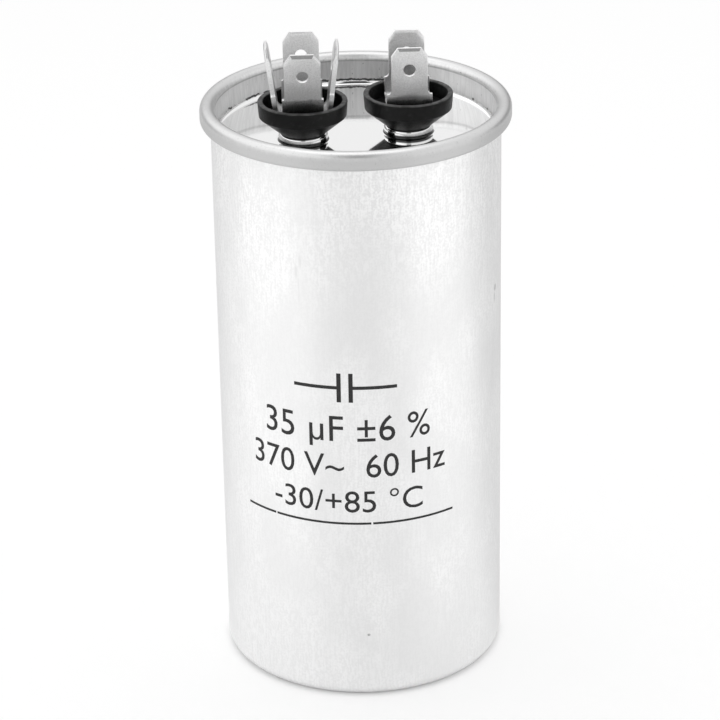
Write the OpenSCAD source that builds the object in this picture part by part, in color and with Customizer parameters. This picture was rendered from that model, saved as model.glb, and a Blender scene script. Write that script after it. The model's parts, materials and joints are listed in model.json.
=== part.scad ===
// Round motor-run capacitor in a drawn can, with a double-seamed lid and push-on blade terminals.
// Millimetres, +Z up, origin at the centre of the face that the can stands on.
// The four-blade terminal stands at -X and the two-blade terminal at +X.

/* [Can] */
// Outside diameter of the can's wall
can_d = 50; // [46:0.5:56]
// Height from the resting face to the top of the seam
rim_height = 103.5; // [90:0.5:130]
// Thickness of the can's sheet
can_sheet = 0.35; // [0.3:0.05:0.45]
// Outside radius of the corner between the wall and the bottom
bottom_round = 2; // [0.5:0.25:3]

/* [Lid and seam] */
// Thickness of the lid's sheet
lid_sheet = 0.35; // [0.3:0.05:0.45]
// Room for sealing compound between the folded layers
seam_gap = 0.25; // [0.15:0.05:0.3]
// Height of the finished seam
seam_height = 3.25; // [3:0.25:4.5]
// Depth of the ridge that the seaming rolls press into the can's wall behind the seam
ridge_depth = 0.08; // [0.04:0.02:0.08]
// Depth of the middle of the lid's panel below the top of the seam
panel_depth = 6.6; // [5.8:0.1:8]
// How far the panel rises from its flat middle to the bend
panel_dish = 0.8; // [0.4:0.1:1]
// Inside radius of the bend between the lid's wall and its panel
panel_bend = 1; // [0.5:0.1:1.4]
// Height of the raised boss under each terminal
boss_rise = 1.5; // [1:0.1:1.8]
// Outside radius of the boss's top edge
boss_round = 0.6; // [0.5:0.05:0.8]
// Radius of the hollow corner at the boss's foot
boss_fillet = 0.3; // [0.2:0.05:0.4]
// Width of the boss's rim that shows around the insulator's neck
boss_ledge = 0.3; // [0.2:0.05:0.6]

/* [Insulators] */
// Distance between the two terminals' axes
terminal_pitch = 18.4; // [17:0.2:24]
// Height of an insulator from the boss to its rim
cup_height = 5.7; // [5.2:0.1:8]
// Height of the insulator's upright band
band_height = 2.7; // [2:0.1:3]
// Depth of the pocket that takes the terminal's foot
pocket_depth = 2.6; // [2:0.1:3]
// Thickness of the insulator's wall at its rim
cup_wall = 0.95; // [0.7:0.05:1.3]
// How far the moulded walls lean outward over their height
cup_draft = 0.2; // [0.1:0.05:0.3]
// Diameter of the insulator's neck where it sits on the boss
neck_d = 7.9; // [7.4:0.1:9]
// Radius of the insulator's moulded edges
cup_edge = 0.25; // [0.1:0.05:0.35]
// Wall of the spigot that lines the lid's hole
spigot_wall = 0.9; // [0.7:0.05:1]

/* [Blades] */
// Width of a push-on blade
blade_w = 6.2; // [5.6:0.1:6.6]
// Thickness of the blade sheet
blade_t = 0.8; // [0.7:0.05:0.9]
// Length of a blade from its shoulder to its tip
blade_len = 8.3; // [7.5:0.1:10]
// Height of the four-blade terminal's feet between the bend and the shoulder
four_foot_len = 3.2; // [1.6:0.1:4]
// Height of the two-blade terminal's feet between the bend and the shoulder
two_foot_len = 2.5; // [1.6:0.1:4]
// Width of the four-blade terminal's feet
four_foot_w = 7; // [6.8:0.1:7.1]
// Width of the two-blade terminal's feet
two_foot_w = 7.8; // [7:0.1:8.2]
// Radius of the hollow corner between shoulder and blade
shoulder_fillet = 0.85; // [0.3:0.05:1]
// Width of the flat base between two opposite bends
base_w = 7.2; // [7.2:0.1:8]
// Inside radius of the bend
bend_r = 0.6; // [0.4:0.05:0.8]
// Outward lean of the four blades
four_splay = 7.4; // [0:0.1:12]
// Outward lean of the two blades
two_splay = 1.2; // [0:0.1:6]
// Turn of both terminals about their own axes
terminal_turn = -8; // [-15:0.5:15]
// Width of the cut corner at a blade's tip
tip_cut_w = 1.1; // [0.8:0.1:1.8]
// Height of the cut corner at a blade's tip
tip_cut_h = 1.5; // [0.8:0.1:2]
// Length of the lead-in bevel along the tip
bevel_run = 0.6; // [0.3:0.05:1]
// Depth of the lead-in bevel on each face
bevel_depth = 0.22; // [0.1:0.02:0.3]
// Diameter of the detent hole
detent_d = 2.1; // [1.6:0.1:2.4]
// Distance of the detent hole from the tip
detent_drop = 4; // [3.6:0.1:4.8]

/* [Rivets and washers] */
// Diameter of the rivet's shank
shank_d = 3.2; // [2.8:0.1:3.6]
// Diameter of the rivet's head
head_d = 5.2; // [4.6:0.1:5.8]
// Height of the rivet's domed head
head_h = 1; // [0.7:0.1:1.3]
// Diameter of the rivet's clinched end
clinch_d = 4.8; // [4.4:0.1:5.4]
// Thickness of the rivet's clinched end
clinch_h = 0.8; // [0.6:0.1:1.2]

/* [Fits] */
// Room between the lid's wall and the can's wall
wall_gap = 0.1; // [0.08:0.01:0.15]
// Radial room of a shank, spigot or washer in its hole
hole_gap = 0.05; // [0.03:0.01:0.1]
// Room between a terminal's foot and the pocket's wall
pocket_gap = 0.25; // [0.15:0.05:0.4]
// Room around the rivet's clinched end
clinch_gap = 0.1; // [0.05:0.05:0.2]

/* [Hidden] */
$fn = 96;
// Overshoot that keeps a cutter's faces clear of the faces that it cuts
over = 1;
// Segments along a rounded corner of a drawn outline
corner_steps = 8;
// Flat left on the panel outside the bosses
boss_flat = 0.3;
// Flat left on a shoulder beside its fillet
shoulder_flat = 0.1;
// Length of an arm's root that laps into the base
root_lap = 1;
// Share of the rivet head's height that its dome takes
head_dome = 0.8;

// Radii of the seam's layers, from the lid's inner wall outward
can_r = can_d / 2;
wall_out = can_r - can_sheet - wall_gap;
wall_in = wall_out - lid_sheet;
lid_hook_in = can_r + seam_gap;
lid_hook_out = lid_hook_in + lid_sheet;
can_hook_in = lid_hook_out + seam_gap;
can_hook_out = can_hook_in + can_sheet;
seam_in = can_hook_out + seam_gap;

// Heights and centres of the seam's two turns
seam_low = rim_height - seam_height;
crown_inner = (seam_in - wall_out) / 2;
crown_c = [(wall_out + seam_in) / 2, rim_height - crown_inner - lid_sheet];
heel_inner = (seam_in - lid_hook_out) / 2;
heel_c = [(lid_hook_out + seam_in) / 2, seam_low + heel_inner + lid_sheet];
can_turn_inner = (can_hook_in - can_r) / 2;

// Levels of the lid, the insulators and the terminals
panel_top = rim_height - panel_depth;
fill_top = panel_top - lid_sheet;
boss_top = panel_top + boss_rise;
floor_z = boss_top + cup_height - pocket_depth;
bend_z = blade_t + bend_r;

// Radii of the stack on each terminal's axis
neck_r = neck_d / 2;
boss_r = neck_r + boss_ledge;
boss_hollow_r = boss_r - lid_sheet;
bore_r = shank_d / 2 + hole_gap;
spigot_r = bore_r + spigot_wall;
lid_hole_r = spigot_r + hole_gap;
foot_reach = base_w / 2 + bend_r + blade_t;
pocket_r = norm([foot_reach, max(four_foot_w, two_foot_w) / 2]) + pocket_gap;
rim_r = pocket_r + cup_draft + cup_wall;
band_r = rim_r - cup_draft;
relief_r = (base_w - four_foot_w) / 2 + bend_r / 2;

// Centres of the panel's dish and of the bend that carries it up into the wall
dish_in = terminal_pitch / 2 + boss_r + boss_fillet + boss_flat;
dish_run = wall_in - panel_bend - dish_in;
dish_offset = (dish_run * dish_run + panel_dish * panel_dish) / (2 * panel_dish);
dish_r = dish_offset + panel_bend;
dish_c = [dish_in, panel_top + dish_r];
bend_c = [wall_in - panel_bend, panel_top + panel_dish + panel_bend];
dish_end = asin(dish_run / dish_offset) - 90;

// A list of points taken the other way round
function reversed(points) = [for (i = [len(points) - 1:-1:0]) points[i]];

// Outlines drawn as points with a radius at each corner: [x, y, radius]
function turned(v, a) = [v.x * cos(a) - v.y * sin(a), v.x * sin(a) + v.y * cos(a)];
function along(a, b) = (b - a) / norm(b - a);
function side(u, w) = u.x * w.y - u.y * w.x > 0 ? 1 : -1;
function corner(a, b, c, r) =
    let(u = along(b, a), w = along(b, c), half = acos(u * w) / 2)
    let(centre = b + (u + w) / norm(u + w) * r / sin(half))
    let(start = b + u * r / tan(half) - centre, sweep = -side(u, w) * (180 - 2 * half))
    [for (i = [0:corner_steps]) centre + turned(start, sweep * i / corner_steps)];
function flat(p) = [p.x, p.y];
function outline(points) = [
    for (i = [0:len(points) - 1])
        let(p = points[i], a = points[(i + len(points) - 1) % len(points)], c = points[(i + 1) % len(points)])
        each p[2] > 0 ? corner(flat(a), flat(p), flat(c), p[2]) : [flat(p)]
];

// A sheet's upright leg in section, from its inner radius
module leg(r, low, high, sheet) {
    translate([r, low])
        square([sheet, high - low]);
}

// A sheet's bend in section, cut to the window between two corners relative to its centre
module bend(centre, inner, sheet, low, high) {
    translate(centre)
        intersection() {
            difference() {
                circle(inner + sheet);
                circle(inner);
            }
            translate((inner + sheet) * low)
                square((inner + sheet) * (high - low));
        }
}

// Repeats a part of the stack on one terminal's axis: -1 is the four-blade side, 1 the two-blade side
module on_axis(side, z) {
    translate([side * terminal_pitch / 2, 0, z])
        children();
}

module both_axes(z) {
    for (side = [-1, 1])
        on_axis(side, z)
            children();
}

// One face of the can's wall from the filling to the flange, pressed in behind the seam
function seamed_wall(r) = [[r, fill_top], [r, seam_low], [r - ridge_depth, heel_c.y], [r, crown_c.y]];

// Can: wall, bottom and sealed contents as one solid, with the wall's flange folded into the seam
module can_section() {
    polygon(outline([[0, 0, 0], [can_r, 0, bottom_round], [can_r, fill_top, 0], [0, fill_top, 0]]));
    polygon(concat(seamed_wall(can_r), reversed(seamed_wall(can_r - can_sheet))));
    bend(crown_c, can_turn_inner, can_sheet, [-1, 0], [1, 1]);
    leg(can_hook_in, heel_c.y, crown_c.y, can_sheet);
}

module can() {
    color("gainsboro")
        difference() {
            rotate_extrude()
                can_section();
            both_axes(fill_top - clinch_h - clinch_gap)
                cylinder(r = clinch_d / 2 + clinch_gap, h = clinch_h + clinch_gap + over);
        }
}

// Points that follow a curve on from its first angle to its last
function arc(centre, r, from, to) = [
    for (i = [1:corner_steps])
        let(a = from + (to - from) * i / corner_steps)
        centre + r * [cos(a), sin(a)]
];

// One face of the lid's panel from the axis up to the wall, at a depth in the sheet
function panel_face(depth) = concat(
    [[0, panel_top - depth], [dish_in, panel_top - depth]],
    arc(dish_c, dish_r + depth, -90, dish_end),
    arc(bend_c, panel_bend + depth, dish_end, 0)
);

// Lid: dished panel, upright wall, crown over the can's flange, and hook tucked behind it
module lid_section() {
    polygon(concat(panel_face(0), reversed(panel_face(lid_sheet))));
    leg(wall_in, bend_c.y, crown_c.y, lid_sheet);
    bend(crown_c, crown_inner, lid_sheet, [-1, 0], [1, 1]);
    leg(seam_in, heel_c.y, crown_c.y, lid_sheet);
    bend(heel_c, heel_inner, lid_sheet, [-1, -1], [1, 0]);
    leg(lid_hook_in, heel_c.y, crown_c.y - seam_gap, lid_sheet);
}

// Boss pressed up from the panel, from its underside to its flat top
module boss() {
    rotate_extrude()
        polygon(outline([
            [0, -lid_sheet, 0],
            [boss_r + boss_fillet, -lid_sheet, 0],
            [boss_r + boss_fillet, 0, 0],
            [boss_r, 0, boss_fillet],
            [boss_r, boss_rise, boss_round],
            [0, boss_rise, 0]
        ]));
}

// Hollow under a boss, and the hole through its top
module boss_hollow() {
    translate([0, 0, -lid_sheet - over])
        cylinder(r = boss_hollow_r, h = boss_rise + over);
    cylinder(r = lid_hole_r, h = boss_rise + over);
}

module lid() {
    color("silver")
        difference() {
            union() {
                rotate_extrude()
                    lid_section();
                both_axes(panel_top)
                    boss();
            }
            both_axes(panel_top)
                boss_hollow();
        }
}

// Insulator: moulded cup on a conical body, with a spigot through the lid's hole
module insulator() {
    color([0.09, 0.09, 0.09])
        rotate_extrude()
            polygon(outline([
                [bore_r, -lid_sheet, 0],
                [spigot_r, -lid_sheet, 0],
                [spigot_r, 0, 0],
                [neck_r, 0, cup_edge],
                [band_r, cup_height - band_height, cup_edge],
                [rim_r, cup_height, cup_edge],
                [rim_r - cup_wall, cup_height, cup_edge],
                [pocket_r, cup_height - pocket_depth, 0],
                [bore_r, cup_height - pocket_depth, 0]
            ]));
}

// Side view of an arm around its bend's centre: root in the base, bend, and a blade that leans outward
module arm_side(foot_len, splay) {
    outer = bend_r + blade_t;
    tip_v = foot_len + blade_len;
    up = [sin(splay), cos(splay)];
    sweep = [for (i = [0:corner_steps]) -90 + (90 - splay) * i / corner_steps];
    polygon(concat(
        [[-root_lap, -outer]],
        [for (a = sweep) outer * [cos(a), sin(a)]],
        [outer * [up.y, -up.x] + tip_v * up, bend_r * [up.y, -up.x] + tip_v * up],
        [for (a = reversed(sweep)) bend_r * [cos(a), sin(a)]],
        [[-root_lap, -bend_r]]
    ));
}

// Waste that is punched away beside a blade, above its shoulder and at its cut corner
module side_waste(foot_w, foot_len) {
    tip_v = foot_len + blade_len;
    fillet = min(shoulder_fillet, (foot_w - blade_w) / 2 - shoulder_flat);
    polygon(outline([
        [blade_w / 2, foot_len, fillet],
        [foot_w / 2 + over, foot_len, 0],
        [foot_w / 2 + over, tip_v + over, 0],
        [blade_w / 2 - tip_cut_w, tip_v + over, 0],
        [blade_w / 2 - tip_cut_w, tip_v, 0],
        [blade_w / 2, tip_v - tip_cut_h, 0]
    ]));
}

// Wedge that bevels both faces of the sheet along an edge, with the edge's outward side along +Y
module lead_in() {
    for (face = [0, 1])
        mirror([0, 0, face])
            translate([0, 0, -blade_t / 2])
                rotate([90, 0, 90])
                    linear_extrude(height = 2 * blade_w, center = true)
                        polygon([
                            [-bevel_run, 0],
                            [over, bevel_depth * (1 + over / bevel_run)],
                            [over, -over],
                            [-bevel_run, -over]
                        ]);
}

// Everything that is cut from a blade: across X and up Y, with the sheet's thickness centred on Z
module blade_cuts(foot_w, foot_len) {
    tip_v = foot_len + blade_len;
    for (s = [0, 1])
        mirror([s, 0, 0]) {
            linear_extrude(height = blade_t + over, center = true)
                side_waste(foot_w, foot_len);
            translate([(blade_w - tip_cut_w) / 2, tip_v - tip_cut_h / 2, 0])
                rotate(-atan2(tip_cut_h, tip_cut_w))
                    lead_in();
        }
    translate([0, tip_v, 0])
        lead_in();
    translate([0, tip_v - detent_drop, 0])
        cylinder(d = detent_d, h = blade_t + over, center = true);
}

// One arm of a terminal: bend and blade, reaching out along +X
module arm(foot_w, foot_len, splay) {
    translate([base_w / 2, 0, bend_z])
        difference() {
            rotate([90, 0, 0])
                linear_extrude(height = foot_w, center = true)
                    arm_side(foot_len, splay);
            rotate([0, splay, 0])
                translate([bend_r + blade_t / 2, 0, 0])
                    rotate([90, 0, 90])
                        blade_cuts(foot_w, foot_len);
        }
}

// Four-blade terminal: one cross-shaped stamping with relief holes between its arms
module four_blade_terminal() {
    color("lightgrey")
        on_axis(-1, floor_z)
            rotate(terminal_turn)
                difference() {
                    union() {
                        translate([-base_w, -base_w, 0] / 2)
                            cube([base_w, base_w, blade_t]);
                        for (turn = [0:90:270])
                            rotate(turn)
                                arm(four_foot_w, four_foot_len, four_splay);
                    }
                    rivet_hole();
                    for (x = [-1, 1], y = [-1, 1])
                        translate([x * base_w / 2, y * base_w / 2, -over])
                            cylinder(r = relief_r, h = bend_z + over);
                }
}

// Two-blade terminal: one strip with a blade at the front and one at the back
module two_blade_terminal() {
    color("lightgrey")
        on_axis(1, floor_z)
            rotate(terminal_turn)
                difference() {
                    union() {
                        translate([-two_foot_w, -base_w, 0] / 2)
                            cube([two_foot_w, base_w, blade_t]);
                        for (turn = [90, 270])
                            rotate(turn)
                                arm(two_foot_w, two_foot_len, two_splay);
                    }
                    rivet_hole();
                }
}

// Hole for the rivet's shank through a terminal's base
module rivet_hole() {
    translate([0, 0, -over])
        cylinder(r = bore_r, h = blade_t + 2 * over);
}

// Rivet: domed head on the terminal's base, shank through the stack, end clinched under the washer
module rivet() {
    head_z = floor_z + blade_t;
    color("silver")
        rotate_extrude()
            polygon(outline([
                [0, fill_top - clinch_h, 0],
                [clinch_d / 2, fill_top - clinch_h, clinch_h / 2],
                [clinch_d / 2, fill_top, 0],
                [shank_d / 2, fill_top, 0],
                [shank_d / 2, head_z, 0],
                [head_d / 2, head_z, 0],
                [head_d / 2, head_z + head_h, head_dome * head_h],
                [0, head_z + head_h, 0]
            ]));
}

// Inner washer: fills the hollow under a boss and keeps the rivet off the lid
module inner_washer() {
    color("ivory")
        difference() {
            cylinder(r = boss_hollow_r - hole_gap, h = boss_rise);
            translate([0, 0, -over])
                cylinder(r = bore_r, h = boss_rise + 2 * over);
        }
}

can();
lid();
on_axis(-1, boss_top) insulator();  // four_blade_insulator
on_axis(1, boss_top) insulator();  // two_blade_insulator
four_blade_terminal();
two_blade_terminal();
on_axis(-1, 0) rivet();  // four_blade_rivet
on_axis(1, 0) rivet();  // two_blade_rivet
on_axis(-1, fill_top) inner_washer();  // four_blade_inner_washer
on_axis(1, fill_top) inner_washer();  // two_blade_inner_washer
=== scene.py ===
"""Finishes, printing and studio for a round motor-run capacitor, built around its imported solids."""

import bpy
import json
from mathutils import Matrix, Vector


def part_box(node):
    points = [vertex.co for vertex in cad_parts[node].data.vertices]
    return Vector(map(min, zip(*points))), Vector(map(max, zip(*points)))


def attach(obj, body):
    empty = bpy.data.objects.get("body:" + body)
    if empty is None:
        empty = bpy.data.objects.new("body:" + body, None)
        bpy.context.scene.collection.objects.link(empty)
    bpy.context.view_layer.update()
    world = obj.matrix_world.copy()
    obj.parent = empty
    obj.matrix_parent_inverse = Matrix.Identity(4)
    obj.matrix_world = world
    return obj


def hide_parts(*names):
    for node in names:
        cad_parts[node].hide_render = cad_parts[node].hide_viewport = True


bl_info = {
    "name": "Round Capacitor",
    "version": (1, 0, 0),
    "blender": (4, 5, 0),
    "location": "View3D > Sidebar > Capacitor",
    "description": "Dresses a capacitor in worn metal, moulded plastic and printed ratings",
    "category": "Object",
}

import json
import math

import bpy
from mathutils import Matrix, Vector

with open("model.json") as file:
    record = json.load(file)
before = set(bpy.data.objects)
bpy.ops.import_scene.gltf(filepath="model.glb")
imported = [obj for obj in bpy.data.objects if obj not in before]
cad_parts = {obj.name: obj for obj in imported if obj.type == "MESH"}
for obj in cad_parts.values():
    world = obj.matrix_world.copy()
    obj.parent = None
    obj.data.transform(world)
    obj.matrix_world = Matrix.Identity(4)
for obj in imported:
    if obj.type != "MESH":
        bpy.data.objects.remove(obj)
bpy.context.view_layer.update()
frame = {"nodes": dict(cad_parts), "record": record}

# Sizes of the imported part, in metres
MM = 0.001
MOUNTS = {mount["name"]: mount for mount in frame["record"]["mounts"]}
CAN_RADIUS = MOUNTS["can_wall"]["dims"]["r_mm"] * MM
LID_SHEET = 0.35 * MM
LID_BORE = 24.2 * MM
RIM_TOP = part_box("lid")[1].z
PANEL_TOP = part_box("lid")[0].z + LID_SHEET
PANEL_EDGE = 20.0 * MM
WALL_FOOT = PANEL_TOP + 1.5 * MM
BOSS_REACH = 14.0 * MM
CUP_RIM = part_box("four_blade_insulator")[1].z
BLADE_BEND = 1.4 * MM
BLADE_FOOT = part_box("four_blade_terminal")[0].z + BLADE_BEND
TERMINAL_TURN = math.radians(-8)

# Corners closer than this are merged, and edges are smooth up to this angle
MERGE = 0.001 * MM
SMOOTH_ANGLE = math.radians(30)

# Names of the nodes that are finished alike
TERMINALS = ("four_blade_terminal", "two_blade_terminal")
INSULATORS = ("four_blade_insulator", "two_blade_insulator")
RIVETS = ("four_blade_rivet", "two_blade_rivet")
WASHERS = ("four_blade_inner_washer", "two_blade_inner_washer")


class CapacitorFinish(bpy.types.PropertyGroup):
    """Colours and edge sizes of the capacitor's own surfaces"""

    can_colour: bpy.props.FloatVectorProperty(
        name="Can", description="Drawn aluminium of the can",
        subtype="COLOR", size=4, min=0, max=1, default=(0.94, 0.94, 0.94, 1))
    lid_colour: bpy.props.FloatVectorProperty(
        name="Lid", description="Bright sheet of the lid's panel",
        subtype="COLOR", size=4, min=0, max=1, default=(0.88, 0.88, 0.88, 1))
    # The seam's colour is darkened on its lower face as painted shade, and the crown's lighter colour
    # is a painted highlight on its top
    seam_and_shade_colour: bpy.props.FloatVectorProperty(
        name="Seam", description="Metal that the seaming rolls have dulled",
        subtype="COLOR", size=4, min=0, max=1, default=(0.56, 0.56, 0.56, 1))
    crown_highlight_colour: bpy.props.FloatVectorProperty(
        name="Crown", description="Brighter metal on top of the seam",
        subtype="COLOR", size=4, min=0, max=1, default=(0.69, 0.69, 0.69, 1))
    wall_colour: bpy.props.FloatVectorProperty(
        name="Lid wall", description="Matt metal of the lid's upright wall",
        subtype="COLOR", size=4, min=0, max=1, default=(0.8, 0.8, 0.8, 1))
    insulator_colour: bpy.props.FloatVectorProperty(
        name="Insulators", description="Moulded plastic of the insulators",
        subtype="COLOR", size=4, min=0, max=1, default=(0.006, 0.006, 0.006, 1))
    blade_colour: bpy.props.FloatVectorProperty(
        name="Blades", description="Tinned metal of the terminals",
        subtype="COLOR", size=4, min=0, max=1, default=(0.78, 0.78, 0.78, 1))
    # The sheared edges are cut metal whose lighter colour is partly a painted highlight
    sheared_highlight_colour: bpy.props.FloatVectorProperty(
        name="Sheared edges", description="Bright metal where the blades were cut",
        subtype="COLOR", size=4, min=0, max=1, default=(0.96, 0.96, 0.96, 1))
    coined_colour: bpy.props.FloatVectorProperty(
        name="Coined tips", description="Duller metal of the blades' lead-in bevels",
        subtype="COLOR", size=4, min=0, max=1, default=(0.33, 0.33, 0.33, 1))
    ink_colour: bpy.props.FloatVectorProperty(
        name="Ink", description="Printing ink on the can",
        subtype="COLOR", size=4, min=0, max=1, default=(0.012, 0.012, 0.012, 1))
    blade_edge: bpy.props.FloatProperty(
        name="Blade edge", description="Radius worn onto the blades' sheared edges",
        unit="LENGTH", default=0.15 * MM, min=0)


class CapacitorPrint(bpy.types.PropertyGroup):
    """Printed block on the front of the can"""

    value_line: bpy.props.StringProperty(
        name="Value", description="Line with a plain capacitance", default="35 µF ±6 %")
    supply_line: bpy.props.StringProperty(
        name="Supply", description="Line with a plain voltage and frequency",
        default="370 V~  60 Hz")
    heat_line: bpy.props.StringProperty(
        name="Temperature", description="Line with a plain temperature range",
        default="-30/+85 °C")
    middle: bpy.props.FloatProperty(
        name="Middle", description="Arc from the front to the block's middle",
        unit="LENGTH", default=-7.0 * MM)
    width: bpy.props.FloatProperty(
        name="Width", description="Arc from the block's left edge to its right edge",
        unit="LENGTH", default=40.0 * MM)
    rule_height: bpy.props.FloatProperty(
        name="Rule height", description="Height of the lower rule",
        unit="LENGTH", default=34.6 * MM)
    rule_width: bpy.props.FloatProperty(
        name="Rule width", description="Thickness of the rule's line",
        unit="LENGTH", default=0.4 * MM)
    ink_depth: bpy.props.FloatProperty(
        name="Ink depth", description="Thickness of the ink on the metal",
        unit="LENGTH", default=0.02 * MM)


class CapacitorStage(bpy.types.PropertyGroup):
    """Camera, floor and light"""

    distance: bpy.props.FloatProperty(
        name="Camera distance", description="Distance from the camera to its aim",
        unit="LENGTH", default=536.3 * MM)
    aim_height: bpy.props.FloatProperty(
        name="Aim height", description="Height that the camera aims at",
        unit="LENGTH", default=54.36 * MM)
    azimuth: bpy.props.FloatProperty(
        name="Azimuth", description="Turn of the camera from the front, about the can's axis",
        subtype="ANGLE", default=math.radians(-9.83))
    elevation: bpy.props.FloatProperty(
        name="Elevation", description="Height of the camera above the horizon",
        subtype="ANGLE", default=math.radians(24.54))
    roll: bpy.props.FloatProperty(
        name="Roll", description="Turn of the camera about its own axis",
        subtype="ANGLE", default=math.radians(-0.99))
    lens: bpy.props.FloatProperty(
        name="Lens", description="Focal length in millimetres on a 36 mm sensor", default=150.65)
    sky: bpy.props.FloatProperty(
        name="Sky", description="Strength of the even light from all sides", default=0.7, min=0)
    tent: bpy.props.FloatProperty(
        name="Tent", description="Brightness of the white tent that the metal mirrors",
        default=0.86, min=0)
    slit: bpy.props.FloatProperty(
        name="Slit", description="Brightness of the tent's dark slit at the front",
        default=0.08, min=0)
    panels: bpy.props.FloatProperty(
        name="Side panels", description="Brightness of the tent's lit panels at both sides",
        default=1.1, min=0)
    ceiling: bpy.props.FloatProperty(
        name="Ceiling", description="Brightness of the tent's upper half", default=0.97, min=0)
    back: bpy.props.FloatProperty(
        name="Back", description="Brightness of the tent's back, behind the object",
        default=0.52, min=0)
    floor_glow: bpy.props.FloatProperty(
        name="Floor glow", description="Light that the metal mirrors from the floor",
        default=0.23, min=0)
    side_glow: bpy.props.FloatProperty(
        name="Side glow", description="Light that the metal mirrors from the floor at both sides",
        default=0.42, min=0)
    back_glow: bpy.props.FloatProperty(
        name="Back glow", description="Light that the metal mirrors from the floor behind it",
        default=0.09, min=0)
    lamp: bpy.props.FloatProperty(
        name="Lamp", description="Power of the panel above the object, in watts",
        default=0.5, min=0)
    floor_colour: bpy.props.FloatVectorProperty(
        name="Floor", description="Colour of the floor",
        subtype="COLOR", size=4, min=0, max=1, default=(0.9, 0.9, 0.9, 1))


# Node helpers


def new_material(name):
    """An empty material with its tree and its Principled shader."""
    material = bpy.data.materials.new(name)
    material.use_nodes = True
    return material, material.node_tree, material.node_tree.nodes["Principled BSDF"]


def plug(tree, socket, value):
    """Links a socket, or sets a plain value on one."""
    if isinstance(value, bpy.types.NodeSocket):
        tree.links.new(value, socket)
    else:
        socket.default_value = value


def add_node(tree, kind, inputs, **settings):
    """A node with its settings and its inputs, which are named or numbered."""
    node = tree.nodes.new(kind)
    for key, value in settings.items():
        setattr(node, key, value)
    for key, value in inputs.items():
        plug(tree, node.inputs[key], value)
    return node


def maths(tree, operation, *values):
    """The result of a Math node."""
    inputs = dict(enumerate(values))
    return add_node(tree, "ShaderNodeMath", inputs, operation=operation).outputs[0]


def spread(tree, value, low, high, to_low, to_high):
    """A value moved smoothly from one range to another, and held at its ends."""
    inputs = {"Value": value, "From Min": low, "From Max": high,
              "To Min": to_low, "To Max": to_high}
    node = add_node(tree, "ShaderNodeMapRange", inputs, interpolation_type="SMOOTHSTEP")
    return node.outputs["Result"]


def mask(tree, value, start, full):
    """Nought up to one value, one from another, and smooth between them."""
    return spread(tree, value, start, full, 0.0, 1.0)


def band(tree, value, base, *offsets):
    """One inside a band, whose soft edges lie at four offsets, in millimetres, from its base."""
    start, full, fall, end = (base + offset * MM for offset in offsets)
    return maths(tree, "SUBTRACT", mask(tree, value, start, full), mask(tree, value, fall, end))


def weighted(tree, *parts):
    """The sum of some values, each times its weight."""
    total = 0.0
    for value, weight in parts:
        total = maths(tree, "MULTIPLY_ADD", value, weight, total)
    return total


def roughened(tree, value, texture, reach):
    """A value that a texture moves up and down, by up to half a reach each way."""
    return maths(tree, "MULTIPLY_ADD", maths(tree, "SUBTRACT", texture, 0.5), reach, value)


def noise(tree, vector, scale, detail=3.0):
    """The value of a noise texture, whose scale is in grains to the metre."""
    inputs = {"Vector": vector, "Scale": scale, "Detail": detail}
    return add_node(tree, "ShaderNodeTexNoise", inputs).outputs[0]


def stretched(tree, vector, scale):
    """Coordinates scaled along each axis."""
    return add_node(tree, "ShaderNodeMapping", {"Vector": vector, "Scale": scale}).outputs[0]


def blend_colours(tree, factor, low, high):
    """A colour between two, by a factor."""
    node = add_node(tree, "ShaderNodeMix", {0: factor, 6: low, 7: high}, data_type="RGBA")
    return node.outputs[2]


def blend_values(tree, factor, low, high):
    """A number between two, by a factor."""
    node = add_node(tree, "ShaderNodeMix", {0: factor, 2: low, 3: high}, data_type="FLOAT")
    return node.outputs[0]


def bump(tree, height, distance):
    """A normal bent by a height."""
    inputs = {"Height": height, "Distance": distance, "Strength": 1.0}
    return add_node(tree, "ShaderNodeBump", inputs).outputs[0]


def object_coordinates(tree):
    """Object coordinates, which are metres in the part's own frame."""
    return add_node(tree, "ShaderNodeTexCoord", {}).outputs["Object"]


def axes_of(tree, vector):
    """The axes of a vector, by their letters."""
    return add_node(tree, "ShaderNodeSeparateXYZ", {"Vector": vector}).outputs


def length_of(tree, vector):
    """The length of a vector."""
    return add_node(tree, "ShaderNodeVectorMath", {0: vector}, operation="LENGTH").outputs["Value"]


def shade(colour, factor):
    """A colour made lighter or darker."""
    return [min(1.0, channel * factor) for channel in colour[:3]] + [1.0]


def two_tone(tree, texture, colour, dark, light):
    """A colour that a texture makes darker and lighter by two factors."""
    tone = mask(tree, texture, 0.3, 0.7)
    return blend_colours(tree, tone, shade(colour, dark), shade(colour, light))


# Materials


def speck(tree, place, strength, angle, height, wide, tall):
    """The mark's strength inside a small oval on the can's wall, and nought outside it."""
    centre = Vector((CAN_RADIUS * math.sin(angle), -CAN_RADIUS * math.cos(angle), height))
    size = Vector((wide, wide, tall))
    local = add_node(tree, "ShaderNodeMapping", {
        "Vector": place,
        "Location": Vector((-axis / length for axis, length in zip(centre, size))),
        "Scale": Vector((1 / length for length in size))}).outputs[0]
    return spread(tree, length_of(tree, local), 0.3, 1.0, strength, 0.0)


# Small marks on the can's wall: strength, angle from the front, height, width and length
MARKS = (
    (0.85, math.radians(-8.1), 12.5 * MM, 0.4 * MM, 0.35 * MM),
    (0.16, math.radians(-34.6), 81.2 * MM, 0.4 * MM, 1.7 * MM),
    (0.14, math.radians(-33.0), 83.2 * MM, 0.4 * MM, 2.0 * MM),
    (0.09, math.radians(-33.6), 77.6 * MM, 0.25 * MM, 3.4 * MM),
    (0.6, math.radians(60.8), 71.6 * MM, 0.8 * MM, 0.9 * MM),
    (0.4, math.radians(60.0), 69.9 * MM, 0.4 * MM, 1.4 * MM),
)
# Heights on the can between which its grain grows from faint to strong, towards the seam
GRAIN_FAINT = 70.0 * MM
GRAIN_STRONG = 98.0 * MM


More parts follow.
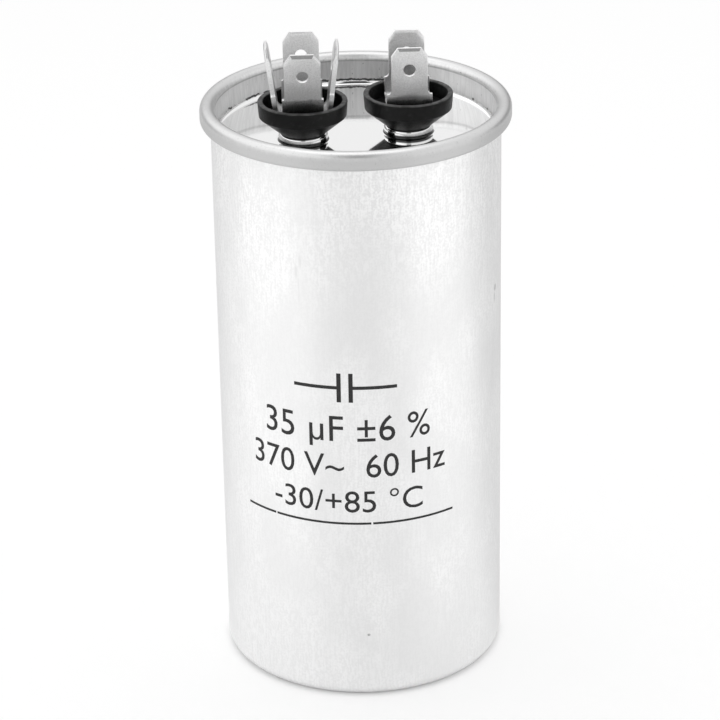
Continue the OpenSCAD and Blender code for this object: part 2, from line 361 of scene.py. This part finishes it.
def drawn_aluminium(finish):
    """Satin aluminium with an upright grain, cloudy handling marks and a few small knocks."""
    material, tree, shader = new_material("drawn_aluminium")
    place = object_coordinates(tree)
    colour = finish.can_colour
    # Grain of long draw lines, short streaks and sand, which is strongest under the seam
    draw_lines = noise(tree, stretched(tree, place, (1.0, 1.0, 0.02)), 2200, detail=2)
    streaks = noise(tree, stretched(tree, place, (1.0, 1.0, 0.2)), 2800, detail=2)
    sand = noise(tree, place, 2600, detail=1)
    grain = weighted(tree, (draw_lines, 0.15), (streaks, 0.45), (sand, 0.4))
    strength = spread(tree, axes_of(tree, place)["Z"], GRAIN_FAINT, GRAIN_STRONG, 0.52, 1.0)
    tone = blend_values(tree, strength, 0.5, mask(tree, grain, 0.4, 0.6))
    drawn = blend_colours(tree, tone, shade(colour, 0.9), shade(colour, 1.07))
    # Clouds where the can was handled, and knocks that hold dirt
    clouds = noise(tree, stretched(tree, place, (1.0, 1.0, 0.5)), 110, detail=5)
    cloudy = spread(tree, clouds, 0.35, 0.65, 0.0, 0.7)
    handled = blend_colours(tree, cloudy, drawn, shade(colour, 0.93))
    marks = speck(tree, place, *MARKS[0])
    for mark in MARKS[1:]:
        marks = maths(tree, "MAXIMUM", marks, speck(tree, place, *mark))
    worn = maths(tree, "MULTIPLY", marks, spread(tree, sand, 0.35, 0.65, 0.6, 1.0))
    plug(tree, shader.inputs["Base Color"],
         blend_colours(tree, worn, handled, shade(colour, 0.3)))
    plug(tree, shader.inputs["Roughness"], spread(tree, clouds, 0.3, 0.7, 0.36, 0.44))
    plug(tree, shader.inputs["Normal"], bump(tree, grain, 0.003 * MM))
    around = add_node(tree, "ShaderNodeTangent", {}, direction_type="RADIAL", axis="Z").outputs[0]
    plug(tree, shader.inputs["Tangent"], around)
    shader.inputs["Anisotropic"].default_value = 0.7
    shader.inputs["Anisotropic Rotation"].default_value = 0.25
    shader.inputs["Metallic"].default_value = 1.0
    return material


def lid_sheet(finish):
    """Bright sheet on the panel and bosses, matt on the wall and rolled smooth on the seam, with
    painted light: a dark reflection round the bosses' feet, a highlight on the seam's crown and shade
    in the crease below it.
    """
    material, tree, shader = new_material("lid_sheet")
    place = object_coordinates(tree)
    axes = axes_of(tree, place)
    height = axes["Z"]
    flat = stretched(tree, place, (1.0, 1.0, 0.0))
    radius = length_of(tree, flat)
    streaks = noise(tree, stretched(tree, place, (1.0, 1.0, 0.12)), 2200)
    # Matt metal starts at a ragged edge round the wall's foot
    ragged = noise(tree, stretched(tree, place, (1.0, 1.0, 0.35)), 1400, detail=5)
    edge = roughened(tree, height, ragged, 0.8 * MM)
    rolled = maths(tree, "MULTIPLY", mask(tree, radius, PANEL_EDGE, PANEL_EDGE + 0.5 * MM),
                   mask(tree, edge, WALL_FOOT - 0.1 * MM, WALL_FOOT + 0.1 * MM))
    on_seam = mask(tree, radius, LID_BORE + 0.1 * MM, LID_BORE + 0.5 * MM)
    # Dark scuffs along the wall's foot, mostly at the back, and painted shade in the crease below the
    # crown
    backward = spread(tree, axes["Y"], 15.0 * MM, 22.0 * MM, 0.0, 0.25)
    patches = maths(tree, "ADD", noise(tree, flat, 420, detail=4), backward)
    scuffs = maths(tree, "MULTIPLY", band(tree, edge, WALL_FOOT, 0.0, 0.1, 0.3, 0.5),
                   mask(tree, patches, 0.58, 0.66))
    painted_crease_shade = maths(tree, "MULTIPLY", band(tree, height, RIM_TOP, -1.5, -1.35, -1.25, -1.1),
                   spread(tree, radius, LID_BORE + 0.1 * MM, LID_BORE + 0.4 * MM, 0.35, 0.0))
    dark = maths(tree, "MAXIMUM", scuffs, painted_crease_shade)
    # Specks on the seam and pits in the wall
    specks = spread(tree, noise(tree, place, 3600, detail=2), 0.28, 0.4, 0.4, 0.0)
    # The lighter crown band is a painted highlight, and the darker seam below it painted shade
    crown = mask(tree, edge, RIM_TOP - 1.6 * MM, RIM_TOP - 0.4 * MM)
    bead_with_painted_light = blend_colours(tree, crown, finish.seam_and_shade_colour, finish.crown_highlight_colour)
    seam = blend_colours(tree, specks, bead_with_painted_light, shade(finish.seam_and_shade_colour, 0.7))
    pits = spread(tree, noise(tree, place, 1700), 0.27, 0.34, 0.6, 0.0)
    wall = two_tone(tree, streaks, finish.wall_colour, 0.93, 1.06)
    pitted = blend_colours(tree, pits, wall, shade(finish.wall_colour, 0.3))
    matt = blend_colours(tree, dark, blend_colours(tree, on_seam, pitted, seam),
                         shade(finish.wall_colour, 0.12))
    # Painted reflection: the bright metal is darkened round the bosses' feet, standing for the dark
    # cups mirrored there
    painted_foot_reflection = maths(tree, "MULTIPLY", band(tree, height, PANEL_TOP, 0.02, 0.08, 0.5, 0.75),
                 spread(tree, radius, BOSS_REACH - 0.1 * MM, BOSS_REACH + 0.1 * MM, 1.0, 0.0))
    bright = blend_colours(tree, painted_foot_reflection, finish.lid_colour, shade(finish.lid_colour, 0.06))
    plug(tree, shader.inputs["Base Color"], blend_colours(tree, rolled, bright, matt))
    dull = blend_values(tree, on_seam, 0.42, 0.36)
    plug(tree, shader.inputs["Roughness"], blend_values(tree, rolled, 0.06, dull))
    rings = noise(tree, stretched(tree, place, (0.05, 0.05, 1.0)), 2600)
    relief = maths(tree, "MULTIPLY", blend_values(tree, on_seam, streaks, rings), rolled)
    plug(tree, shader.inputs["Normal"], bump(tree, relief, 0.006 * MM))
    shader.inputs["Metallic"].default_value = 1.0
    return material


def moulded_plastic(finish):
    """Black moulded plastic with a fine dull grain, worn grey along the rim, whose top a painted
    highlight lightens further.
    """
    material, tree, shader = new_material("moulded_plastic")
    place = object_coordinates(tree)
    grain = noise(tree, place, 4000)
    blotches = noise(tree, place, 900, detail=4)
    # The rim's top is worn, and lighter still as a painted highlight
    rim = mask(tree, axes_of(tree, place)["Z"], CUP_RIM - 0.25 * MM, CUP_RIM - 0.05 * MM)
    rim_wear_and_highlight = maths(tree, "MULTIPLY", rim, spread(tree, blotches, 0.35, 0.65, 0.3, 1.0))
    dust_and_rim_highlight = maths(tree, "MAXIMUM", rim_wear_and_highlight, spread(tree, blotches, 0.55, 0.8, 0.0, 0.15))
    plug(tree, shader.inputs["Base Color"],
         blend_colours(tree, dust_and_rim_highlight, finish.insulator_colour, shade(finish.insulator_colour, 16.0)))
    plug(tree, shader.inputs["Roughness"], spread(tree, grain, 0.3, 0.7, 0.36, 0.48))
    plug(tree, shader.inputs["Normal"], bump(tree, grain, 0.004 * MM))
    shader.inputs["Specular IOR Level"].default_value = 0.22
    return material


# Heights that the stain and painted shade on the blades' feet reach, higher on the left where the
# painted cup shadow reaches higher
FOUR_BLADE_STAIN_AND_SHADE = BLADE_FOOT + 3.1 * MM
TWO_BLADE_STAIN_AND_SHADE = BLADE_FOOT + 1.6 * MM


def tinned_metal(name, colour, stain_and_shade_strength):
    """Satin tinned sheet with a fine rolled grain, stained and darkened by painted shade at the
    blades' feet, mostly in front.
    """
    material, tree, shader = new_material(name)
    place = object_coordinates(tree)
    axes = axes_of(tree, place)
    mottle = noise(tree, place, 5000)
    cloud = noise(tree, place, 420)
    # The stain and painted shade have an uneven top, and a weaker painted shade, for mirrored dark
    # surroundings, rises from it
    top = spread(tree, axes["X"], -1.0 * MM, 1.0 * MM, FOUR_BLADE_STAIN_AND_SHADE, TWO_BLADE_STAIN_AND_SHADE)
    above = roughened(tree, maths(tree, "SUBTRACT", axes["Z"], top), cloud, 1.2 * MM)
    foot_stain_and_shade = maths(tree, "MULTIPLY", spread(tree, above, -0.4 * MM, 0.4 * MM, 1.0, 0.0),
                  spread(tree, mottle, 0.3, 0.7, 1.0, 0.8))
    tarnish_and_painted_shade = maths(tree, "MAXIMUM", foot_stain_and_shade,
                    spread(tree, above, 0.5 * MM, 4.5 * MM, 0.48, 0.0))
    # Painted shade is strongest on the front blades, which mirror the dark cups
    strength = spread(tree, axes["Y"], -2.0 * MM, 2.0 * MM, stain_and_shade_strength, 0.2 * stain_and_shade_strength)
    rolled = two_tone(tree, mottle, colour, 0.9, 1.08)
    stain_and_shade_amount = maths(tree, "MULTIPLY", tarnish_and_painted_shade, strength)
    plug(tree, shader.inputs["Base Color"],
         blend_colours(tree, stain_and_shade_amount, rolled, shade(colour, 0.2)))
    plug(tree, shader.inputs["Roughness"], spread(tree, cloud, 0.3, 0.7, 0.3, 0.38))
    plug(tree, shader.inputs["Normal"], bump(tree, mottle, 0.0015 * MM))
    shader.inputs["Metallic"].default_value = 1.0
    return material


def washer_plastic():
    """Plain ivory plastic of the hidden washers."""
    material, tree, shader = new_material("washer_plastic")
    grain = noise(tree, object_coordinates(tree), 2000)
    plug(tree, shader.inputs["Base Color"],
         blend_colours(tree, grain, (0.72, 0.69, 0.60, 1), (0.82, 0.79, 0.71, 1)))
    shader.inputs["Roughness"].default_value = 0.5
    return material


def printing_ink(finish):
    """Flat black ink, thin and slightly uneven."""
    material, tree, shader = new_material("printing_ink")
    patches = noise(tree, object_coordinates(tree), 2200)
    plug(tree, shader.inputs["Base Color"],
         blend_colours(tree, mask(tree, patches, 0.5, 0.8),
                       finish.ink_colour, shade(finish.ink_colour, 3.0)))
    shader.inputs["Roughness"].default_value = 0.55
    return material


def bearings(tree, heading, stage):
    """How far a heading points to the front, where the camera stands at first, and to its right."""
    front = Vector((math.sin(stage.azimuth), -math.cos(stage.azimuth), 0))
    aside = Vector((math.cos(stage.azimuth), math.sin(stage.azimuth), 0))
    return [add_node(tree, "ShaderNodeVectorMath", {0: heading, 1: axis},
                     operation="DOT_PRODUCT").outputs["Value"] for axis in (front, aside)]


def floor_paint(stage):
    """Pale floor that looks white to the camera, still takes shadows, and glows in the metal."""
    material, tree, shader = new_material("floor_paint")
    shader.inputs["Base Color"].default_value = stage.floor_colour
    shader.inputs["Roughness"].default_value = 1.0
    shader.inputs["Specular IOR Level"].default_value = 0.0
    shader.inputs["Emission Color"].default_value = (1, 1, 1, 1)
    path = add_node(tree, "ShaderNodeLightPath", {}).outputs
    through = maths(tree, "MAXIMUM", path["Is Camera Ray"], path["Is Transmission Ray"])
    place = object_coordinates(tree)
    heading = add_node(tree, "ShaderNodeVectorMath", {0: place}, operation="NORMALIZE").outputs[0]
    facing, across = bearings(tree, heading, stage)
    reach = length_of(tree, place)
    # The glow differs in front, at both sides and behind
    away = spread(tree, reach, 30 * MM, 180 * MM, 0.1, 1.0)
    front = blend_values(tree, away, stage.floor_glow, 1.2 * stage.floor_glow)
    ahead = maths(tree, "SUBTRACT", facing, spread(tree, across, 0.0, 0.5, 0.0, 0.16))
    beside = maths(tree, "MULTIPLY", mask(tree, maths(tree, "ABSOLUTE", across), 0.45, 0.7),
                   maths(tree, "MULTIPLY", away, mask(tree, ahead, -0.3, 0.0)))
    sides = blend_values(tree, beside, front, stage.side_glow)
    aft = weighted(tree, (across, 0.5), (facing, -0.87))
    rear = maths(tree, "MAXIMUM", mask(tree, aft, 0.5, 0.95),
                 spread(tree, facing, -0.8, -0.45, 0.8, 0.0))
    glow = blend_values(tree, rear, sides, stage.back_glow)
    mirrored = maths(tree, "MULTIPLY", path["Is Glossy Ray"], glow)
    lift = maths(tree, "MAXIMUM", maths(tree, "MULTIPLY", through, 0.3), mirrored)
    # The glow stops at the can's foot, which paints a contact shadow there
    glow_outside_painted_contact_shadow = mask(tree, reach, CAN_RADIUS - 2.0 * MM, CAN_RADIUS + 1.0 * MM)
    plug(tree, shader.inputs["Emission Strength"], maths(tree, "MULTIPLY", lift, glow_outside_painted_contact_shadow))
    return material


# Modelling helpers


def deselect():
    """Leaves nothing selected, so that an operator acts only on its own piece."""
    bpy.ops.object.select_all(action="DESELECT")


def work_on(piece):
    """Makes one piece the only selected and active one."""
    deselect()
    piece.select_set(True)
    bpy.context.view_layer.objects.active = piece


def apply_modifier(piece, kind, **settings):
    """Adds a modifier, sets it and applies it."""
    modifier = piece.modifiers.new(kind.title(), kind)
    for key, value in settings.items():
        setattr(modifier, key, value)
    work_on(piece)
    bpy.ops.object.modifier_apply(modifier=modifier.name)


def merged_copy(name):
    """A copy of a CAD mesh with its split corners merged, which stands in for its node."""
    piece = bpy.data.objects.new(name + "_worn", frame["nodes"][name].data.copy())
    bpy.context.scene.collection.objects.link(piece)
    work_on(piece)
    bpy.ops.mesh.customdata_custom_splitnormals_clear()
    bpy.ops.object.mode_set(mode="EDIT")
    bpy.ops.mesh.select_all(action="SELECT")
    bpy.ops.mesh.remove_doubles(threshold=MERGE)
    bpy.ops.object.mode_set(mode="OBJECT")
    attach(piece, "root")
    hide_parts(name)
    return piece


def smooth(piece, angle):
    """Smooth shading up to an angle, led by the larger faces."""
    work_on(piece)
    bpy.ops.object.shade_smooth_by_angle(angle=angle)
    apply_modifier(piece, "WEIGHTED_NORMAL", keep_sharp=True)


def dress(piece, material):
    """Gives a piece one material."""
    piece.data.materials.clear()
    piece.data.materials.append(material)


class CAPACITOR_OT_can(bpy.types.Operator):
    """Finish the can's drawn wall"""

    bl_idname = "capacitor.can"
    bl_label = "Finish Can"

    def execute(self, context):
        dress(frame["nodes"]["can"], drawn_aluminium(context.scene.capacitor_finish))
        return {"FINISHED"}


class CAPACITOR_OT_lid(bpy.types.Operator):
    """Finish the lid, its bosses and the rolled seam"""

    bl_idname = "capacitor.lid"
    bl_label = "Finish Lid"

    def execute(self, context):
        piece = merged_copy("lid")
        smooth(piece, SMOOTH_ANGLE)
        dress(piece, lid_sheet(context.scene.capacitor_finish))
        return {"FINISHED"}


class CAPACITOR_OT_insulators(bpy.types.Operator):
    """Finish the moulded insulators and the hidden washers"""

    bl_idname = "capacitor.insulators"
    bl_label = "Finish Insulators"

    def execute(self, context):
        plastic = moulded_plastic(context.scene.capacitor_finish)
        for name in INSULATORS:
            dress(frame["nodes"][name], plastic)
        washer = washer_plastic()
        for name in WASHERS:
            dress(frame["nodes"][name], washer)
        return {"FINISHED"}


# Sheet that bends less than the first angle is flat, and more than the second is a sheared edge
FLAT_ANGLE = math.radians(0.5)
CUT_ANGLE = math.radians(35)


class CAPACITOR_OT_terminals(bpy.types.Operator):
    """Model the blade terminals with worn edges, and finish their rivets"""

    bl_idname = "capacitor.terminals"
    bl_label = "Model Terminals"

    def execute(self, context):
        finish = context.scene.capacitor_finish
        metal = tinned_metal("tinned_metal", finish.blade_colour, stain_and_shade_strength=0.9)
        # Cut edges, made lighter as a painted highlight
        sheared_with_highlight = tinned_metal("sheared_metal", finish.sheared_highlight_colour, stain_and_shade_strength=0.2)
        coined = tinned_metal("coined_metal", finish.coined_colour, stain_and_shade_strength=0.0)
        for name in TERMINALS:
            piece = merged_copy(name)
            work_on(piece)
            bpy.ops.object.mode_set(mode="EDIT")
            bpy.ops.mesh.select_all(action="SELECT")
            bpy.ops.mesh.dissolve_limited(angle_limit=FLAT_ANGLE)
            bpy.ops.object.mode_set(mode="OBJECT")
            apply_modifier(piece, "BEVEL", width=finish.blade_edge, segments=2,
                           limit_method="ANGLE", angle_limit=CUT_ANGLE, harden_normals=False)
            smooth(piece, CUT_ANGLE)
            dress(piece, metal)
            piece.data.materials.append(sheared_with_highlight)
            piece.data.materials.append(coined)
            mark_worked(piece)
        # The rivets sit below the blades' feet, so they take the full stain and painted shade
        for name in RIVETS:
            dress(frame["nodes"][name], metal)
        return {"FINISHED"}


# Share of a normal that tells a blade's broad face, and one that tells the cut side of a base
BROAD_FACE = 0.85
BASE_SIDE = 0.7
# Coined tips, by their reach below a blade's end and the lean of their faces in degrees
COINED_REACH = 1.0 * MM
COINED_LEAN = (9, 40)


def mark_worked(piece):
    """Gives the second material to the sheared faces, and the third to the outer coined tips."""
    low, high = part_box(piece.name.replace("_worn", ""))
    axis = (low + high) / 2
    turn = Matrix.Rotation(-TERMINAL_TURN, 3, "Z")
    for face in piece.data.polygons:
        place = turn @ (face.center - axis)
        normal = turn @ face.normal
        out, across = (0, 1) if abs(place.x) > abs(place.y) else (1, 0)
        on_blade = face.center.z > BLADE_FOOT
        cut = abs(normal[out]) < BROAD_FACE if on_blade else abs(normal[across]) > BASE_SIDE
        lean = math.degrees(math.asin(max(-1.0, min(1.0, normal.z))))
        at_tip = face.center.z > high.z - COINED_REACH and COINED_LEAN[0] < lean < COINED_LEAN[1]
        outer = normal[out] * place[out] > 0
        face.material_index = 1 if cut else 2 if at_tip and outer else 0


# Printed lines: the setting with the words, and the line's width, base and height
LINES = (
    ("value_line", 30.0 * MM, 50.4 * MM, 4.8 * MM),
    ("supply_line", 36.0 * MM, 43.5 * MM, 4.4 * MM),
    ("heat_line", 27.0 * MM, 36.8 * MM, 4.3 * MM),
)
# Printed symbol: its base and height, then half its length, the plates' gap and the strokes
SYMBOL_BASE = 57.8 * MM
SYMBOL_HEIGHT = 5.4 * MM
SYMBOL_REACH = 9.0 * MM
PLATE_GAP = 1.3 * MM
PLATE_STROKE = 0.75 * MM
LEAD_STROKE = 0.6 * MM
# Printed rule: where the ink has missed, from its left end, and how much of it
RULE_BREAKS = (6.8 * MM, 24.5 * MM)
RULE_SKIP = 0.3 * MM
# Strips that the flat ink is cut into before it is bent
INK_STRIPS = 64


class CAPACITOR_OT_print(bpy.types.Operator):
    """Print the plain ratings, a capacitor's symbol and a rule on the can"""

    bl_idname = "capacitor.print"
    bl_label = "Print Ratings"

    def execute(self, context):
        layout = context.scene.capacitor_print
        pieces = [printed_line(getattr(layout, words), layout.middle, width, base, height)
                  for words, width, base, height in LINES]
        pieces += printed_symbol(layout.middle)
        pieces += printed_rule(layout)
        deselect()
        for piece in pieces:
            piece.select_set(True)
        context.view_layer.objects.active = pieces[0]
        bpy.ops.object.join()
        ink = context.view_layer.objects.active
        ink.name = "printed_ratings"
        ink.data.name = "printed_ratings"
        wrap_on_can(ink, layout.ink_depth)
        dress(ink, printing_ink(context.scene.capacitor_finish))
        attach(ink, "root")
        return {"FINISHED"}


def printed_line(words, middle, width, base, height):
    """A line of type as a flat mesh in the XZ plane, fitted to a width and a height."""
    deselect()
    bpy.ops.object.text_add(location=(0, 0, 0))
    line = bpy.context.view_layer.objects.active
    line.data.body = words
    line.data.size = 1.0
    line.data.resolution_u = 4
    bpy.ops.object.convert(target="MESH")
    line = bpy.context.view_layer.objects.active
    xs = [vertex.co.x for vertex in line.data.vertices]
    ys = [vertex.co.y for vertex in line.data.vertices]
    bpy.ops.object.mode_set(mode="EDIT")
    bpy.ops.mesh.select_all(action="SELECT")
    bpy.ops.transform.translate(value=(-min(xs), -max(ys), 0))
    bpy.ops.transform.resize(value=(width / (max(xs) - min(xs)), height / max(ys), 1),
                             center_override=(0, 0, 0))
    bpy.ops.transform.rotate(value=-math.pi / 2, orient_axis="X", center_override=(0, 0, 0))
    bpy.ops.transform.translate(value=(middle - width / 2, 0, base + height))
    bpy.ops.object.mode_set(mode="OBJECT")
    return line


def printed_bar(left, right, low, high):
    """A flat bar of ink in the XZ plane."""
    deselect()
    bpy.ops.mesh.primitive_plane_add(size=1, location=((left + right) / 2, 0, (low + high) / 2),
                                     rotation=(math.pi / 2, 0, 0))
    bar = bpy.context.view_layer.objects.active
    bar.scale = (right - left, high - low, 1)
    bpy.ops.object.transform_apply(location=True, rotation=True, scale=True)
    return bar


def printed_symbol(middle):
    """The plain drawing symbol of a capacitor: two plates with a lead on each side."""
    top = SYMBOL_BASE + SYMBOL_HEIGHT
    axis = SYMBOL_BASE + SYMBOL_HEIGHT / 2
    bars = []
    for side in (-1, 1):
        near = middle + side * PLATE_GAP / 2
        far = middle + side * (PLATE_GAP / 2 + PLATE_STROKE)
        end = middle + side * SYMBOL_REACH
        bars.append(printed_bar(min(near, far), max(near, far), SYMBOL_BASE, top))
        bars.append(printed_bar(min(far, end), max(far, end),
                                axis - LEAD_STROKE / 2, axis + LEAD_STROKE / 2))
    return bars


def printed_rule(layout):
    """The rule under the block, with small breaks where the ink has missed."""
    left = layout.middle - layout.width / 2
    ends = (left, *(left + place for place in RULE_BREAKS), left + layout.width)
    low = layout.rule_height - layout.rule_width / 2
    return [printed_bar(start, stop - RULE_SKIP, low, low + layout.rule_width)
            for start, stop in zip(ends, ends[1:])]


def wrap_on_can(ink, depth):
    """Cuts flat ink into narrow strips, thickens it and bends it round the can."""
    work_on(ink)
    left = min(vertex.co.x for vertex in ink.data.vertices)
    right = max(vertex.co.x for vertex in ink.data.vertices)
    bpy.ops.object.mode_set(mode="EDIT")
    for cut in range(1, INK_STRIPS):
        bpy.ops.mesh.select_all(action="SELECT")
        bpy.ops.mesh.bisect(plane_co=(left + (right - left) * cut / INK_STRIPS, 0, 0),
                            plane_no=(1, 0, 0))
    bpy.ops.mesh.select_all(action="SELECT")
    bpy.ops.mesh.remove_doubles(threshold=MERGE)
    bpy.ops.object.mode_set(mode="OBJECT")
    for face in ink.data.polygons:
        if face.normal.y > 0:
            face.flip()
    apply_modifier(ink, "SOLIDIFY", thickness=depth, offset=1.0)
    apply_modifier(ink, "SIMPLE_DEFORM", deform_method="BEND", deform_axis="Z",
                   angle=(right - left) / CAN_RADIUS)
    bpy.ops.object.mode_set(mode="EDIT")
    bpy.ops.mesh.select_all(action="SELECT")
    bpy.ops.transform.translate(value=(0, -CAN_RADIUS, 0))
    bpy.ops.object.mode_set(mode="OBJECT")
    bpy.ops.object.shade_smooth_by_angle(angle=SMOOTH_ANGLE)


class CAPACITOR_OT_stage(bpy.types.Operator):
    """Set up the floor, the light and the camera"""

    bl_idname = "capacitor.stage"
    bl_label = "Set Up Stage"

    def execute(self, context):
        stage = context.scene.capacitor_stage
        context.scene.view_settings.view_transform = "Standard"
        lay_floor(stage)
        light_sky(context.scene, stage)
        hang_lamp(stage)
        aim_camera(context.scene, stage)
        return {"FINISHED"}


# Side of the floor, then the lamp's place, the side of its panel and what it faces, in metres
FLOOR_SIDE = 6.0
LAMP_PLACE = Vector((0, 0.1, 0.7))
LAMP_SIDE = 0.5
LAMP_AIM = Vector((0, 0, 0.05))
# Width of the camera's sensor in millimetres, and its nearest view
SENSOR_WIDTH = 36.0
NEAREST_VIEW = 10.0 * MM


def lay_floor(stage):
    """A wide floor under the object."""
    deselect()
    bpy.ops.mesh.primitive_plane_add(size=FLOOR_SIDE, location=(0, 0, 0))
    floor = bpy.context.view_layer.objects.active
    floor.name = "floor"
    dress(floor, floor_paint(stage))


def light_sky(scene, stage):
    """A white tent with a dark slit at the front, which only the metal shows."""
    world = bpy.data.worlds.new("studio")
    scene.world = world
    world.use_nodes = True
    tree = world.node_tree
    background = tree.nodes["Background"].inputs
    background["Color"].default_value = (1, 1, 1, 1)
    heading = add_node(tree, "ShaderNodeTexCoord", {}).outputs["Generated"]
    facing, across = bearings(tree, heading, stage)
    aside = maths(tree, "ABSOLUTE", across)
    rise = axes_of(tree, heading)["Z"]
    # Low walls: lit panels at both sides, and a dimmer back
    beside = maths(tree, "MULTIPLY", mask(tree, aside, 0.5, 0.7), mask(tree, facing, -0.15, 0.2))
    sides = blend_values(tree, beside, stage.tent, stage.panels)
    behind = spread(tree, facing, -0.6, -0.2, 1.0, 0.0)
    back = spread(tree, across, -0.4, 0.4, stage.back, 0.5 * stage.back)
    walls = blend_values(tree, behind, sides, back)
    # Ceiling: brighter on the left, and cut by the slit
    left = spread(tree, across, -0.6, -0.1, 1.0, 0.0)
    ceiling = blend_values(tree, left, stage.ceiling, 1.35 * stage.ceiling)
    tent = blend_values(tree, spread(tree, rise, 0.2, 0.34, 1.0, 0.0), ceiling, walls)
    tall = maths(tree, "MULTIPLY", mask(tree, facing, 0.1, 0.25), mask(tree, rise, 0.38, 0.5))
    slit = maths(tree, "MULTIPLY", spread(tree, aside, 0.12, 0.2, 1.0, 0.0), tall)
    mirrored = blend_values(tree, slit, tent, stage.slit)
    path = add_node(tree, "ShaderNodeLightPath", {}).outputs
    light = blend_values(tree, path["Is Glossy Ray"], stage.sky, mirrored)
    plug(tree, background["Strength"], blend_values(tree, path["Is Camera Ray"], light, 1.0))


def hang_lamp(stage):
    """A square soft panel above the object."""
    deselect()
    bpy.ops.object.light_add(type="AREA", location=LAMP_PLACE)
    lamp = bpy.context.view_layer.objects.active
    lamp.name = "top_panel"
    lamp.data.shape = "SQUARE"
    lamp.data.size = LAMP_SIDE
    lamp.data.energy = stage.lamp
    lamp.rotation_euler = (LAMP_AIM - LAMP_PLACE).to_track_quat("-Z", "Y").to_euler()
    lamp.visible_camera = False


def aim_camera(scene, stage):
    """The camera at the photograph's angle."""
    bpy.ops.object.camera_add()
    camera = bpy.context.view_layer.objects.active
    camera.data.lens = stage.lens
    camera.data.sensor_width = SENSOR_WIDTH
    camera.data.clip_start = NEAREST_VIEW
    flat = math.cos(stage.elevation)
    back = Vector((math.sin(stage.azimuth) * flat, -math.cos(stage.azimuth) * flat,
                   math.sin(stage.elevation)))
    right = Vector((math.cos(stage.azimuth), math.sin(stage.azimuth), 0))
    up = back.cross(right)
    turned_right = right * math.cos(stage.roll) + up * math.sin(stage.roll)
    turned_up = up * math.cos(stage.roll) - right * math.sin(stage.roll)
    place = Vector((0, 0, stage.aim_height)) + back * stage.distance
    camera.matrix_world = Matrix((
        (turned_right.x, turned_up.x, back.x, place.x),
        (turned_right.y, turned_up.y, back.y, place.y),
        (turned_right.z, turned_up.z, back.z, place.z),
        (0, 0, 0, 1),
    ))
    scene.camera = camera


class CAPACITOR_PT_panel(bpy.types.Panel):
    """Sidebar panel with the steps that dress the capacitor"""

    bl_idname = "CAPACITOR_PT_panel"
    bl_label = "Capacitor"
    bl_space_type = "VIEW_3D"
    bl_region_type = "UI"
    bl_category = "Capacitor"

    def draw(self, context):
        column = self.layout.column()
        for step in STEPS:
            column.operator(step.bl_idname)
        for settings in SETTINGS:
            group = getattr(context.scene, settings)
            box = column.box()
            for name in group.__annotations__:
                box.prop(group, name)


STEPS = (CAPACITOR_OT_can, CAPACITOR_OT_lid, CAPACITOR_OT_insulators, CAPACITOR_OT_terminals,
         CAPACITOR_OT_print, CAPACITOR_OT_stage)
SETTINGS = {"capacitor_finish": CapacitorFinish, "capacitor_print": CapacitorPrint,
            "capacitor_stage": CapacitorStage}


def register():
    """Registers the classes and hangs the settings on the scene."""
    for part in (*SETTINGS.values(), *STEPS, CAPACITOR_PT_panel):
        bpy.utils.register_class(part)
    for name, group in SETTINGS.items():
        setattr(bpy.types.Scene, name, bpy.props.PointerProperty(type=group))


def unregister():
    """Takes the settings off the scene and the classes out again."""
    for name in SETTINGS:
        delattr(bpy.types.Scene, name)
    for part in reversed((*SETTINGS.values(), *STEPS, CAPACITOR_PT_panel)):
        bpy.utils.unregister_class(part)


def main():
    """Dresses the part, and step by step."""
    register()
    bpy.ops.capacitor.can()
    bpy.ops.capacitor.lid()
    bpy.ops.capacitor.insulators()
    bpy.ops.capacitor.terminals()
    bpy.ops.capacitor.print()
    bpy.ops.capacitor.stage()


if __name__ == "__main__":
    main()
